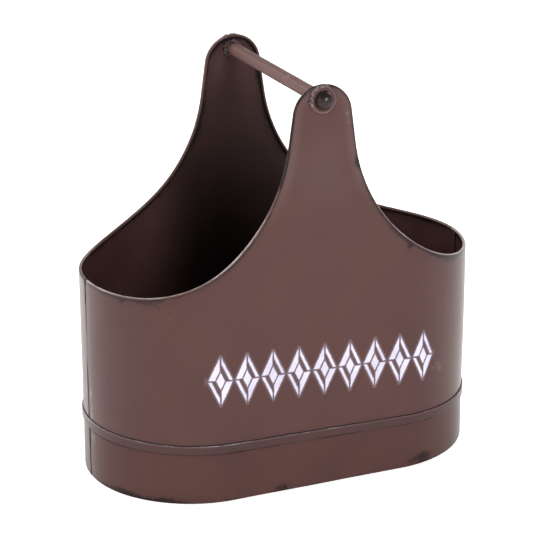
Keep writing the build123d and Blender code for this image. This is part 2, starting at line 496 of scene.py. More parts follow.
@dataclass(frozen=True)
class SheetPaint:
    """Sprayed satin enamel on sheet steel, rubbed back at the edges to show grey, and paled there with
    painted highlight.

    Smooth and slightly waxy: soft highlights that whiten only at a glancing view, faint
    vertical wipe marks, dark grime with painted shade in the creases, and worn rims where undercoat shows.

    Args:
        name: the material's name.
        body: main sRGB colour.
        cloud: the colour that drifts through it.
        bare: colour of the worn metal and undercoat, and of painted highlights on edges.
        grime_and_shade: colour of the dirt, of dark scuffs and of painted shade in creases.
        shade_colour: colour of the painted shade deep inside.
        stencil_colour: colour of the sprayed ornaments.
        roughness: how matt it is.
        specular: strength of the mirror part seen square on.
        cloud_size: size of the drifting patches, in metres.
        streak_wide: width of a wipe mark.
        streak_tall: height of a wipe mark.
        streak: how much a wipe mark changes the brightness.
        sway: how much it changes the roughness.
        wear_size: size of the ragged edge of the pale and dark marks.
        scuff_size: typical distance between small dark scuffs.
        peel_size: grain of the sprayed surface, coarser than real so that it shows.
        peel_depth: height of that grain.
        stencil: the ornaments, where this sheet has them.
        joint: height of the bar's axis and radius of the crease round it that painted shade darkens, where
            this sheet has them.
        inside_shade: where painted shade darkens the inside, if it does.
    """

    name: str
    body: str = "50332F"
    cloud: str = "4B2F2D"
    bare: str = "9C908E"
    grime_and_shade: str = "1E1112"
    # Painted shade deep inside: a near-black brown.
    shade_colour: str = "140C0B"
    stencil_colour: str = "DAD6EC"
    roughness: float = 0.28
    specular: float = 0.25
    cloud_size: float = 60 * MM
    streak_wide: float = 3.6 * MM
    streak_tall: float = 55 * MM
    streak: float = 0.016
    sway: float = 0.006
    wear_size: float = 5 * MM
    scuff_size: float = 62 * MM
    peel_size: float = 1.3 * MM
    peel_depth: float = 0.06 * MM
    stencil: Stencil | None = None
    joint: tuple[float, float] | None = None
    inside_shade: InsideShade | None = None

    def joint_crease_shade(self, tree: Tree, place: Socket) -> Socket:
        """Painted shade in the crease round the washer and the bar's end."""
        height, radius = self.joint
        parts = put(tree, "ShaderNodeSeparateXYZ", {}, {0: place}, -1)
        rise = put(tree, MATH, "SUBTRACT", (parts.outputs["Z"], height))
        flat = put(tree, "ShaderNodeCombineXYZ", {}, {"X": parts.outputs["X"], "Z": rise})
        away = put(tree, "ShaderNodeVectorMath", "LENGTH", {0: flat}, "Value")
        off = put(tree, MATH, "SUBTRACT", (away, radius))
        gap = put(tree, MATH, "ABSOLUTE", (off,))
        return put(tree, RANGE, {}, (gap, 0.2 * MM, 1.6 * MM, 0.5, 0.0))

    def shaded_inside(self, tree: Tree, place: Socket, colour: Socket) -> Socket:
        """Darken the colour with painted shade low down and midway between the ends."""
        inside_shade = self.inside_shade
        parts = put(tree, "ShaderNodeSeparateXYZ", {}, {0: place}, -1)
        deep = put(tree, RANGE, {}, (parts.outputs["Z"], inside_shade.high, inside_shade.low, 0.0, inside_shade.most))
        off = put(tree, MATH, "ABSOLUTE", (parts.outputs["X"],))
        midway = put(tree, RANGE, EASED, (off, inside_shade.near, inside_shade.far, 1.0, inside_shade.least))
        # The share of painted shade at each point.
        thin = put(tree, MATH, "MULTIPLY", (deep, midway))
        return put(tree, MIX, IN_COLOUR, {"Factor": thin, 6: colour, 7: linear(self.shade_colour)}, 2)

    def sprayed(self, tree: Tree, place: Socket, s: Socket, z: Socket, colour: Socket) -> Socket:
        """Lay the ornaments over the paint, with ragged edges and a faint overspray."""
        ragged = put(tree, NOISE, {}, {"Vector": place, "Scale": 1 / (3 * MM), "Detail": 2.0}, "Fac")
        drift = put(tree, MATH, "MULTIPLY_ADD", (ragged, self.stencil.ragged, -self.stencil.ragged / 2))
        inside = self.stencil.inside(tree, s, z)
        edge = put(tree, MATH, "ADD", (inside, drift))
        solid = put(tree, RANGE, EASED, (edge, -self.stencil.soft, self.stencil.soft))
        thin = put(tree, NOISE, {}, {"Vector": place, "Scale": 1 / (22 * MM), "Detail": 2.0}, "Fac")
        strength = put(tree, RANGE, {}, (thin, 0.35, 0.62, 0.8, 0.98))
        laid = put(tree, MATH, "MULTIPLY", (solid, strength))
        halo = put(tree, RANGE, EASED, (edge, -self.stencil.overspray, 0.0, 0.0, 0.12))
        cover = put(tree, MATH, "MAXIMUM", (laid, halo))
        return put(tree, MIX, IN_COLOUR,
                   {"Factor": cover, 6: colour, 7: linear(self.stencil_colour)}, 2)

    def make(self) -> Material:
        """Build the material.

        Returns:
            A node material that reads the sheet's own map, its pale marks of wear and painted highlight, and
            its dark marks of dirt and painted shade.
        """
        material, tree, place = blank_material(self.name)
        flat = put(tree, "ShaderNodeUVMap", {"uv_map": SHEET_MAP})
        cut = put(tree, "ShaderNodeSeparateXYZ", links={0: flat}, out=-1)

        clouds = put(tree, NOISE, {}, {"Vector": place, "Scale": 1 / self.cloud_size,
                                       "Detail": 3.0, "Roughness": 0.55}, "Fac")
        cloud = put(tree, RANGE, {}, (clouds, 0.35, 0.7))
        squeezed = put(tree, "ShaderNodeMapping", {},
                       {"Vector": flat, "Scale": (1 / self.streak_wide, 1 / self.streak_tall, 1.0)})
        streaks = put(tree, NOISE, {},
                      {"Vector": squeezed, "Scale": 1.0, "Detail": 4.0, "Roughness": 0.6}, "Fac")
        streak = put(tree, RANGE, {}, (streaks, 0.3, 0.75, 1 - self.streak, 1 + self.streak))
        painted = put(tree, MIX, IN_COLOUR,
                      {"Factor": cloud, 6: linear(self.body), 7: linear(self.cloud)}, 2)
        colour = put(tree, MIX, {"data_type": "RGBA", "blend_type": "MULTIPLY"},
                     {"Factor": 1.0, 6: painted, 7: streak}, 2)
        glossiest, dullest = self.roughness - self.sway, self.roughness + self.sway
        roughness = put(tree, RANGE, {}, (streaks, 0.3, 0.75, glossiest, dullest))
        if self.inside_shade:
            colour = self.shaded_inside(tree, place, colour)
        if self.stencil:
            colour = self.sprayed(tree, place, cut.outputs[0], cut.outputs[1], colour)

        scuffs = put(tree, "ShaderNodeTexVoronoi", {"feature": "F1"},
                     {"Vector": place, "Scale": 1 / self.scuff_size}, "Distance")
        scuff = put(tree, RANGE, {}, (scuffs, 0.008, 0.022, 0.7, 0.0))
        colour = put(tree, MIX, IN_COLOUR, {"Factor": scuff, 6: colour, 7: linear(self.grime_and_shade)}, 2)

        grain = put(tree, NOISE, {},
                    {"Vector": place, "Scale": 1 / self.wear_size, "Detail": 6.0, "Roughness": 0.7}, "Fac")
        patch = put(tree, NOISE, {},
                    {"Vector": place, "Scale": 1 / (7 * self.wear_size), "Detail": 2.0}, "Fac")
        uneven = put(tree, MATH, "MULTIPLY_ADD", (patch, 1.4, -0.7))
        ragged = put(tree, MATH, "ADD", (grain, uneven))
        # Each mark has a ragged part, which covers at most so much and starts at a level, and
        # a share that is laid on evenly.
        # The pale mark paints wear and painted highlight in one colour; the dark mark paints dirt and
        # painted shade in one colour.
        marks = ((WEAR_AND_SHEEN, self.bare, 0.7, 0.88, 0.4), (DIRT_AND_SHADE, self.grime_and_shade, 0.72, 0.86, 0.3))
        for kind, tone, most, low, even in marks:
            given = put(tree, "ShaderNodeAttribute", {"attribute_name": kind}, out="Fac")
            if kind == DIRT_AND_SHADE and self.joint:
                given = put(tree, MATH, "ADD", (given, self.joint_crease_shade(tree, place)))
            total = put(tree, MATH, "ADD", (given, ragged))
            patchy = put(tree, RANGE, EASED, (total, low, 1.2, 0.0, most))
            cover = put(tree, MATH, "MULTIPLY_ADD", (given, even, patchy))
            colour = put(tree, MIX, IN_COLOUR, {"Factor": cover, 6: colour, 7: linear(tone)}, 2)

        peel = put(tree, NOISE, {},
                   {"Vector": place, "Scale": 1 / self.peel_size, "Detail": 2.0}, "Fac")
        bump = put(tree, "ShaderNodeBump", {},
                   {"Height": peel, "Strength": 0.2, "Distance": self.peel_depth}, "Normal")
        shader = put(tree, "ShaderNodeBsdfPrincipled", {},
                     {"Base Color": colour, "Roughness": roughness, "Normal": bump,
                      "Specular IOR Level": self.specular}, "BSDF")
        put(tree, "ShaderNodeOutputMaterial", {}, {"Surface": shader}, -1)
        return material


@dataclass(frozen=True)
class PlainFinish:
    """A finish with a mottled colour and a fine bump, for small parts and the floor.

    Args:
        name: the material's name.
        first: main sRGB colour.
        second: the colour that mottles it.
        roughness: how matt it is.
        metallic: one for bare metal.
        grain: size of the mottling, in metres.
        bump: height of the grain, in metres.
        specular: strength of the mirror part seen square on.
    """

    name: str
    first: str
    second: str
    roughness: float
    metallic: float = 0.0
    grain: float = 3 * MM
    bump: float = 0.05 * MM
    specular: float = 0.5

    def make(self) -> Material:
        """Build the material."""
        material, tree, place = blank_material(self.name)
        grain = put(tree, NOISE, {},
                    {"Vector": place, "Scale": 1 / self.grain, "Detail": 4.0, "Roughness": 0.6}, "Fac")
        spread = put(tree, RANGE, {}, (grain, 0.35, 0.7))
        colour = put(tree, MIX, IN_COLOUR,
                     {"Factor": spread, 6: linear(self.first), 7: linear(self.second)}, 2)
        bump = put(tree, "ShaderNodeBump", {},
                   {"Height": grain, "Strength": 0.5, "Distance": self.bump}, "Normal")
        shader = put(tree, "ShaderNodeBsdfPrincipled", {},
                     {"Base Color": colour, "Roughness": self.roughness, "Metallic": self.metallic,
                      "Specular IOR Level": self.specular, "Normal": bump}, "BSDF")
        put(tree, "ShaderNodeOutputMaterial", {}, {"Surface": shader}, -1)
        return material


# ---------------------------------------------------------------- the two sheets


@dataclass
class BellSheet:
    """One sheet of the body, from the floor's edge to the ear, with its edge rolled over a wire.

    Args:
        plan: the basket's plan.
        side: front or rear.
        foot: height of the sheet's lower edge.
        rim: height of the level rim at the round ends.
        ear_top: height of the ear's top.
        lip: height of the band's upper lip at a distance along the sheet.
        rubbed_and_sheen: how pale the top of the rolled edge is, from wear and painted highlight.
        shade_to: how far round the roll its outer side is darkened with painted shade, in degrees.
        ear_radius: radius of the ear's round top.
        flank: angle of the ear's straight sides from upright, in degrees.
        sweep: radius of the concave curve between ear and rim.
        gauge: thickness of the sheet.
        roll: radius of the rolled edge.
        gap: narrowest and widest opening of the end seams.
        dent: height of the gentle waves in the sheet.
        ear_from: height over the rim where the front ear's edge changes: its roll darker with painted shade
            and less pale, the band below it less dark, and a pale painted sheen inside the edge.
        ear_over: height over which it takes over.
        edge_dirt_and_shade: how far the darker band below the roll reaches, partly dirt, partly painted
            shade under the roll.
        sheen_at: distance from the edge of the pale painted sheen on the ear.
        sheen_wide: its width.
        pale_at: distance from the end seams of the painted highlight beside them.
        pale_wide: its width.
        edge_steps: distances from the edge of the rows below the roll.
        foot_steps: heights over the foot of the lowest rows.
    """

    plan: Oblong
    side: Side
    foot: float
    rim: float
    ear_top: float
    lip: Heights
    rubbed_and_sheen: float
    shade_to: float
    ear_radius: float = 28.8 * MM
    flank: float = 8.1
    sweep: float = 152 * MM
    gauge: float = GAUGE
    roll: float = 1.6 * MM
    gap: tuple[float, float] = (1.0 * MM, 2.4 * MM)
    dent: float = 0.35 * MM
    ear_from: float = 58 * MM
    ear_over: float = 45 * MM
    edge_dirt_and_shade: float = 2.6 * MM
    sheen_at: float = 4.5 * MM
    sheen_wide: float = 4 * MM
    pale_at: float = 6.5 * MM
    pale_wide: float = 3 * MM
    edge_steps: Sequence[float] = (1.9 * MM, 2.6 * MM, 3.6 * MM, 5.2 * MM, 8.0 * MM, 12.0 * MM)
    foot_steps: Sequence[float] = tuple(step * MM for step in (0, 1.2, 2.4, 3.6, 4.8, 6.0, 7.5, 9.5, 12.5))

    def outline(self) -> tuple[Array, Array]:
        """X and height of points along the edge, from the left end to the right end."""
        flank = math.radians(self.flank)
        centre_z = self.ear_top - self.ear_radius
        start = Vector((self.ear_radius * math.cos(flank), centre_z + self.ear_radius * math.sin(flank)))
        sweep_z = self.rim + self.sweep
        sweep_x = start.x + (self.sweep - (sweep_z - start.y) * math.sin(flank)) / math.cos(flank)
        top = np.linspace(math.pi / 2, flank, 26)
        ear = np.stack([self.ear_radius * np.cos(top), centre_z + self.ear_radius * np.sin(top)], 1)
        bend = np.linspace(flank, math.pi / 2, 70)
        curve = np.stack([sweep_x - self.sweep * np.cos(bend), sweep_z - self.sweep * np.sin(bend)], 1)
        straight = np.linspace(ear[-1], curve[0], 14)[1:-1]
        steps = np.array([12, 9, 7, 5.5, 4, 3, 2.2, 1.5, 0.9, 0.4, 0])
        near_seam = math.pi / 2 - steps * MM / self.plan.half_width
        first = math.asin((sweep_x - self.plan.straight) / self.plan.half_width)
        angles = np.concatenate([np.linspace(first, near_seam[0], 14)[1:-1], near_seam])
        level = np.stack([self.plan.straight + self.plan.half_width * np.sin(angles),
                          np.full(len(angles), self.rim)], 1)
        right = np.concatenate([ear, straight, curve, level])
        left = right[:0:-1] * (-1, 1)
        both = np.concatenate([left, right])
        return both[:, 0], both[:, 1]

    def rows(self) -> tuple[Array, Array, Array, Array, Array, list[Skin]]:
        """Flat distance, height, depth, pale marks of wear and painted highlight, and dark marks of dirt and
        painted shade of every point, row by row, and each strip's skin.
        """
        x, z = self.outline()
        s = self.plan.along(x)
        ds, dz = np.gradient(s), np.gradient(z)
        size = np.hypot(ds, dz)
        in_s, in_z = dz / size, -ds / size
        on_ear = np.clip((z - self.rim - self.ear_from) / self.ear_over, 0, 1) * (self.side is Side.FRONT)
        rows: list[tuple[Array, Array, float, Array | float, Array | float]] = []
        skins: list[Skin] = []

        def level(inset: float, depth: float, rise: float, share: float) -> None:
            """One row at a rise over the foot plus a share of the rest up to an inset line."""
            top_s, top_z = s + in_s * inset, z + in_z * inset
            rows.append((top_s, self.foot + rise + (top_z - self.foot - rise) * share, depth, 0.0, 0.0))

        for rise in self.foot_steps:
            level(self.edge_steps[-1], 0.0, rise, 0.0)
        for share in np.linspace(0, 1, 28)[1:]:
            level(self.edge_steps[-1], 0.0, self.foot_steps[-1], share)
        # Below the roll: a darker band, partly dirt, partly painted shade under the roll; on the front ear a
        # pale painted sheen inside the edge.
        for inset in self.edge_steps[-2::-1]:
            fade = math.exp(-(inset - self.edge_steps[0]) / self.edge_dirt_and_shade)
            ear_sheen = 0.28 * self.rubbed_and_sheen * math.exp(-((inset - self.sheen_at) / self.sheen_wide) ** 2)
            below = fade * (0.86 - 0.5 * on_ear)
            rows.append((s + in_s * inset, z + in_z * inset, 0.0, ear_sheen * on_ear, below))
        skins += [Skin.OUTSIDE] * (len(rows) - 1)
        # The rolled edge: its top pale from wear and painted highlight, its outer side and its underside
        # inside darkened with painted shade; on the front ear the roll is darker still, painted shade.
        for degrees in range(0, 286, 15):
            turn = math.radians(degrees)
            inset = self.roll * (1 - math.sin(turn))
            worn_and_sheen = self.rubbed_and_sheen * max(0.0, math.sin(turn)) ** 0.7 if self.shade_to < degrees < 180 else 0.0
            shaded = 0.5 if degrees <= self.shade_to else (0.9 if degrees >= 225 else 0.0)
            rows.append((s + in_s * inset, z + in_z * inset, self.roll * (math.cos(turn) - 1),
                         worn_and_sheen * (1 - 0.8 * on_ear), shaded + (0.9 - shaded) * 0.8 * on_ear))
            skins.append(Skin.OUTSIDE if degrees <= 195 else Skin.INSIDE)
        before = len(rows)
        inner_edge = self.roll * (1 - math.sin(math.radians(300)))
        # Painted shade in the crease under the roll inside, fading away from it.
        for inset in (inner_edge, *(step for step in self.edge_steps[:-1] if step > inner_edge)):
            fade = math.exp(-(inset - inner_edge) / (4.0 * MM))
            rows.append((s + in_s * inset, z + in_z * inset, -self.gauge, 0.0, 0.95 * fade))
        for share in np.linspace(1, 0, 28):
            level(self.edge_steps[-1], -self.gauge, 0.0, share)
        skins += [Skin.INSIDE] * (len(rows) - before)
        skins.append(Skin.OUTSIDE)
        flat_s = np.array([row[0] for row in rows])
        flat_z = np.array([row[1] for row in rows])
        depth, wear_and_sheen, dirt_and_shade = (np.array([row[part] * np.ones(len(s)) for row in rows]) for part in (2, 3, 4))
        return flat_s, flat_z, depth, wear_and_sheen, dirt_and_shade, skins[: len(rows)]

    def build(self, materials: Sequence[Material]) -> Piece:
        """Make the sheet.

        Args:
            materials: outside and inside paint.

        Returns:
            The finished piece.
        """
        s, z, depth, wear_and_sheen, dirt_and_shade, skins = self.rows()
        seed = {Side.FRONT: 11, Side.REAR: 12}[self.side]
        end = self.plan.reach - opening(z, self.gap, 26 * MM, 5) / 2
        s = np.clip(s, -end, end)
        dirt_and_shade = dirt_and_shade + self.marks(s, z) * (depth > -self.gauge / 2)
        # Painted highlight: a pale strip beside each end seam.
        seam_edge_highlight = np.exp(-((self.plan.reach - np.abs(s) - self.pale_at) / self.pale_wide) ** 2)
        wear_and_sheen = wear_and_sheen + 0.26 * seam_edge_highlight * (depth > -self.gauge / 2)
        # A pale painted sheen on the front ear.
        if self.side is Side.FRONT:
            wear_and_sheen = wear_and_sheen + spots(s, z, FRONT_SHEEN)
        held_flat, blend, wave_size = 8 * MM, 40 * MM, 120 * MM
        fade = np.clip((z - self.foot - held_flat) / blend, 0, 1)
        waves = self.dent * fade * ripple(s, z, wave_size, seed)
        points = self.plan.place(s, depth + waves, z, self.side)
        flat = np.stack([s, z], axis=-1)
        return Lattice(points, flat, wear_and_sheen, skins, dirt_and_shade).build(f"{self.side.end}_sheet", materials)

    def marks(self, s: Array, z: Array) -> Array:
        """Dark marks outside the sheet: painted shade with dirt in the crease above the band and along the
        end seams, and dirty scuffs by the rim.
        """
        lip_reach, seam_reach = 1.0 * MM, 2.1 * MM
        dirt_and_shade = 0.8 * np.exp(-np.clip(z - self.lip(s) - 0.3 * MM, 0, None) / lip_reach)
        dirt_and_shade = dirt_and_shade + 1.3 * np.exp(-((self.plan.reach - np.abs(s)) / seam_reach) ** 2)
        if self.side is Side.FRONT:
            dirt_and_shade = dirt_and_shade + spots(s, z, FRONT_SCUFFS)
        return dirt_and_shade


# ---------------------------------------------------------------- band, skirt and laps


def poly_line(name: str, points: Array, closed: bool) -> Piece:
    """A curve object that runs straight from point to point."""
    data = bpy.data.curves.new(name, "CURVE")
    data.dimensions = "3D"
    spline = data.splines.new("POLY")
    spline.points.add(len(points) - 1)
    spline.points.foreach_set("co", np.c_[points, np.ones(len(points))].ravel())
    spline.use_cyclic_u = closed
    return linked(name, data)


def started(name: str, inputs: dict[str, str]) -> tuple[Tree, bpy.types.Node]:
    """Start a Geometry Nodes tree, with geometry in and out.

    Args:
        name: the tree's name.
        inputs: its named sizes and what each is, such as Float or Int.

    Returns:
        The tree and the node that gives its inputs.
    """
    tree = bpy.data.node_groups.new(name, "GeometryNodeTree")
    for label, kind in {"Geometry": "Geometry", **inputs}.items():
        tree.interface.new_socket(label, in_out="INPUT", socket_type=f"NodeSocket{kind}")
    tree.interface.new_socket("Geometry", in_out="OUTPUT", socket_type="NodeSocketGeometry")
    return tree, put(tree, "NodeGroupInput", out=-1)


def grown(name: str, seed_object: Piece, tree: Tree, sizes: dict[str, float]) -> Piece:
    """Run a Geometry Nodes tree on an object and keep the result as a plain mesh piece.

    Args:
        name: the new piece's name.
        seed_object: the curve or mesh that the tree starts from; it is removed.
        tree: the node tree.
        sizes: the tree's named inputs and their values.

    Returns:
        The new mesh piece.
    """
    modifier = seed_object.modifiers.new(name, "NODES")
    modifier.node_group = tree
    for socket in tree.interface.items_tree:
        if socket.in_out == "INPUT" and socket.name in sizes:
            modifier[socket.identifier] = sizes[socket.name]
    bpy.context.view_layer.update()
    graph = bpy.context.evaluated_depsgraph_get()
    mesh = bpy.data.meshes.new_from_object(seed_object.evaluated_get(graph), depsgraph=graph)
    mesh.name = name
    seed_object.modifiers.clear()
    bpy.data.objects.remove(seed_object)
    piece = linked(name, mesh)
    outwards(piece)
    return piece


@dataclass
class SeamBand:
    """Folded band over the floor's edge, swept round the plan by Geometry Nodes.

    Args:
        plan: the basket's plan.
        middle: height of the band's middle over the origin.
        slope: how much lower it is per metre to the right.
        tall: its height.
        proud: how far it stands out from the walls.
        edge: radius of its rounded edges.
        uneven: height of the hand-folded waves in its edges.
    """

    plan: Oblong
    middle: float
    slope: float
    tall: float
    proud: float
    edge: float = 0.5 * MM
    uneven: float = 0.55 * MM

    def lip(self, s: Array) -> Array:
        """Height of the upper lip at a distance along either sheet."""
        return self.middle + self.tall / 2 - self.slope * self.plan.across(s)

    def path(self) -> Piece:
        """Centre line of the band as a closed poly curve."""
        count = 360
        t = np.linspace(0, 4 * self.plan.reach, count, endpoint=False)
        points = self.plan.loop(t, np.full(count, self.proud / 2), np.zeros(count))
        points[:, 2] = self.middle - self.slope * points[:, 0]
        return poly_line("seam_band_path", points, closed=True)

    def tree(self, material: Material) -> Tree:
        """The sweep: an uneven path, a rounded flat section and a smooth skin."""
        names = ("Band height", "Band thickness", "Edge radius", "Unevenness")
        tree, given = started("swept_band", dict.fromkeys(names, "Float"))
        wave_place = put(tree, "GeometryNodeInputPosition")
        wave = put(tree, NOISE, {}, {"Vector": wave_place, "Scale": 55.0, "Detail": 2.0}, "Fac")
        centred = put(tree, MATH, "SUBTRACT", (wave, 0.5))
        lift = put(tree, MATH, "MULTIPLY", (centred, given.outputs["Unevenness"]))
        shift = put(tree, "ShaderNodeCombineXYZ", {}, {"Z": lift})
        uneven = put(tree, "GeometryNodeSetPosition", {}, {"Geometry": given.outputs[0], "Offset": shift})
        upright = put(tree, "GeometryNodeSetCurveNormal", {"mode": "Z_UP"}, {"Curve": uneven})
        section = put(tree, "GeometryNodeCurvePrimitiveQuadrilateral", {"mode": "RECTANGLE"},
                      {"Width": given.outputs["Band thickness"], "Height": given.outputs["Band height"]})
        rounded = put(tree, "GeometryNodeFilletCurve", {"mode": "POLY"},
                      {"Curve": section, "Count": 4, "Radius": given.outputs["Edge radius"]})
        even = put(tree, "GeometryNodeSubdivideCurve", {}, {"Curve": rounded, "Cuts": 5})
        across = put(tree, "GeometryNodeInputPosition")
        split = put(tree, "ShaderNodeSeparateXYZ", {}, {0: across}, -1)
        height = put(tree, MATH, "DIVIDE", (split.outputs["Y"], given.outputs["Band height"]))
        # The upper lip is pale, partly worn paint, partly painted highlight; the lower edge is darkened with
        # painted shade where the skirt tucks under.
        worn_and_sheen = put(tree, RANGE, {}, (height, -0.38, -0.48, 0.0, 0.48))
        shaded = put(tree, RANGE, {}, (height, 0.4, 0.49, 0.0, 0.66))
        rubbed_and_sheen = put(tree, "GeometryNodeStoreNamedAttribute", {"data_type": "FLOAT", "domain": "POINT"},
                     {"Geometry": even, "Name": WEAR_AND_SHEEN, "Value": worn_and_sheen})
        marked = put(tree, "GeometryNodeStoreNamedAttribute", {"data_type": "FLOAT", "domain": "POINT"},
                     {"Geometry": rubbed_and_sheen, "Name": DIRT_AND_SHADE, "Value": shaded})
        skin = put(tree, "GeometryNodeCurveToMesh", {}, {"Curve": upright, "Profile Curve": marked})
        smooth = put(tree, "GeometryNodeSetShadeSmooth", {}, {0: skin})
        real = put(tree, "GeometryNodeRealizeInstances", {}, {0: smooth})
        dressed = put(tree, "GeometryNodeSetMaterial", {}, {"Geometry": real, "Material": material})
        put(tree, "NodeGroupOutput", {}, {0: dressed}, -1)
        return tree

    def build(self, material: Material) -> Piece:
        """Make the band."""
        sizes = {"Band height": self.tall, "Band thickness": self.proud, "Edge radius": self.edge,
                 "Unevenness": self.uneven}
        return grown("seam_band_skin", self.path(), self.tree(material), sizes)


@dataclass
class Skirt:
    """Strip below the floor, with a folded hem and one open lap seam at the left end.

    Args:
        plan: the basket's plan.
        top: height of its upper edge, behind the band.
        gauge: thickness of the sheet.
        hem: height of the hem folded up inside.
        gap: narrowest and widest opening of the seam.
        dent: height of the gentle waves in the sheet.
    """

    plan: Oblong
    top: float
    gauge: float = GAUGE
    hem: float = 7 * MM
    gap: tuple[float, float] = (1.0 * MM, 2.2 * MM)
    dent: float = 0.25 * MM

    def section(self) -> list[tuple[float, float, Skin]]:
        """Depth, height and skin of each row, from the top outside to the top inside."""
        steps = (48, 46.5, 45, 43, 40, 35, 29, 23, 18, 14, 11, 8.5, 6.5, 4.8, 3.4, 2.2, 1.4)
        heights = [self.top, *(step * MM for step in steps), self.gauge]
        rows = [(0.0, height, Skin.OUTSIDE) for height in heights]
        for degrees in range(15, 181, 15):
            turn = math.radians(degrees)
            rows.append((self.gauge * (math.cos(turn) - 1), self.gauge * (1 - math.sin(turn)), Skin.OUTSIDE))
        rows.append((-2 * self.gauge, self.hem - 0.3 * MM, Skin.INSIDE))
        rows.append((-1.8 * self.gauge, self.hem, Skin.INSIDE))
        rows.append((-self.gauge, self.hem, Skin.INSIDE))
        rows += [(-self.gauge, self.hem * (1 - share) + self.top * share, Skin.INSIDE)
                 for share in np.linspace(0.1, 1, 6)]
        return rows

    def build(self, materials: Sequence[Material], foot: Heights) -> Piece:
        """Make the skirt.

        Args:
            materials: outside and inside paint.
            foot: height of the band's lower edge at a distance along either side.

        Returns:
            The finished piece.
        """
        rows = self.section()
        whole = 4 * self.plan.reach
        seam_steps = np.array([0, 0.4, 0.9, 1.5, 2.2, 3.0, 4.2, 6.0, 9.0]) * MM
        between = np.linspace(12 * MM, whole - 12 * MM, 380)
        t_row = np.concatenate([seam_steps, between, whole - seam_steps[::-1]])
        depth = by_row((row[0] for row in rows), len(t_row))
        z = by_row((row[1] for row in rows), len(t_row))
        cut = opening(z, self.gap, 22 * MM, 8) / 2
        t = np.clip(t_row[None, :] * np.ones((len(rows), 1)), cut, whole - cut)
        wave_size, blend = 110 * MM, 15 * MM
        waves = self.dent * ripple(t, z, wave_size, 21) * np.clip((self.top - z) / blend, 0, 1)
        points = self.plan.loop(t, depth + waves - self.dent, z)
        s = np.where(t <= 2 * self.plan.reach, t - self.plan.reach, 3 * self.plan.reach - t)
        outer = depth > -self.gauge / 2
        to_seam = np.minimum(t, whole - t)
        # Painted shade, with dust, in the open seam; painted shade under the band's lower edge and along the
        # hem; dirty scuffs.
        seam_reach, band_reach, foot_reach = 1.9 * MM, 0.9 * MM, 1.6 * MM
        seam_dust_and_shade = 1.2 * np.exp(-((to_seam / seam_reach) ** 2))
        band_crease_shade = 1.1 * np.exp(-np.abs(z - foot(s) + 0.3 * MM) / band_reach)
        hem_shade = 0.35 * np.exp(-z / foot_reach)
        dirt_and_shade = (seam_dust_and_shade + band_crease_shade + spots(s, z, SKIRT_SCUFFS) + hem_shade) * outer
        # Painted highlight: a pale strip beside the seam.
        pale_at, pale_wide = 6 * MM, 2.5 * MM
        wear_and_sheen = 0.22 * np.exp(-((to_seam - pale_at) / pale_wide) ** 2) * outer
        flat = np.stack([t, z], axis=-1)
        return Lattice(points, flat, wear_and_sheen, [row[2] for row in rows], dirt_and_shade).build("skirt_strip", materials)


@dataclass
class Lap:
    """The strip of sheet behind an end seam.

    Args:
        plan: the basket's plan.
        centre: distance round the plan of the seam, on the loop.
        low: height of its lower edge.
        high: height of its upper edge.
        width: how far it reaches to each side.
        gauge: thickness of the sheet.
    """

    plan: Oblong
    centre: float
    low: float
    high: float
    width: float = 9 * MM
    gauge: float = GAUGE

    def build(self, name: str, materials: Sequence[Material]) -> Piece:
        """Make the strip, dark outside with dust and painted shade, and painted inside."""
        columns, rows = 9, 12
        t = self.centre + np.linspace(-self.width, self.width, columns)
        whole = 4 * self.plan.reach
        outer = [(-1.05 * self.gauge, z) for z in np.linspace(self.low, self.high, rows)]
        inner = [(-2 * self.gauge, z) for z in np.linspace(self.high, self.low, rows)]
        rows_all = outer + inner
        turns = np.mod(np.array([t] * len(rows_all)), whole)
        depth = by_row((row[0] for row in rows_all), columns)
        z = by_row((row[1] for row in rows_all), columns)
        points = self.plan.loop(turns, depth, z)
        flat = np.stack([turns, z], axis=-1)
        skins = [Skin.OUTSIDE] * (rows - 1) + [Skin.INSIDE] * (rows + 1)
        return Lattice(points, flat, np.zeros_like(z), skins, smooth=False).build(name, materials)


# ---------------------------------------------------------------- handle


@dataclass
class Turned:
    """A round piece turned about a line along Y, from a list of radii and depths.

    Args:
        axis_z: height of the line.
        side: which end of the basket the depths point to.
        steps: how many segments round.
    """

    axis_z: float
    side: Side
    steps: int = 96

    def build(self, name: str, profile: Sequence[tuple[float, float]], wear_and_sheen: Sequence[float],
              material: Material, lumps: Callable[[float, float], float] | None = None) -> Piece:
        """Turn a closed profile into a piece.

        Args:
            name: the piece's name.
            profile: radius and distance from the basket's middle of each point, as a closed ring.
            wear_and_sheen: how pale each point of the profile is, from wear and painted highlight.
            material: its finish.
            lumps: extra radius for an angle and a profile share, for rough pieces.

        Returns:
            The finished piece.
        """
        turn = np.linspace(0, 2 * math.pi, self.steps, endpoint=False)
        radius = by_row((r for r, _ in profile), self.steps)
        depth = by_row((d for _, d in profile), self.steps)
        if lumps:
            extra = np.array([[lumps(a, row / len(profile)) for a in turn] for row in range(len(profile))])
            radius = radius + extra
        x, z = radius * np.cos(turn), self.axis_z + radius * np.sin(turn)
        points = np.stack([x, self.side.value * depth, z], -1)
        flat = np.stack([radius * turn, depth], axis=-1)
        worn_and_sheen = by_row(wear_and_sheen, self.steps)
        skins = [Skin.OUTSIDE] * len(profile)
        return Lattice(points, flat, worn_and_sheen, skins, ring_columns=True, cap_ends=False).build(name, [material])


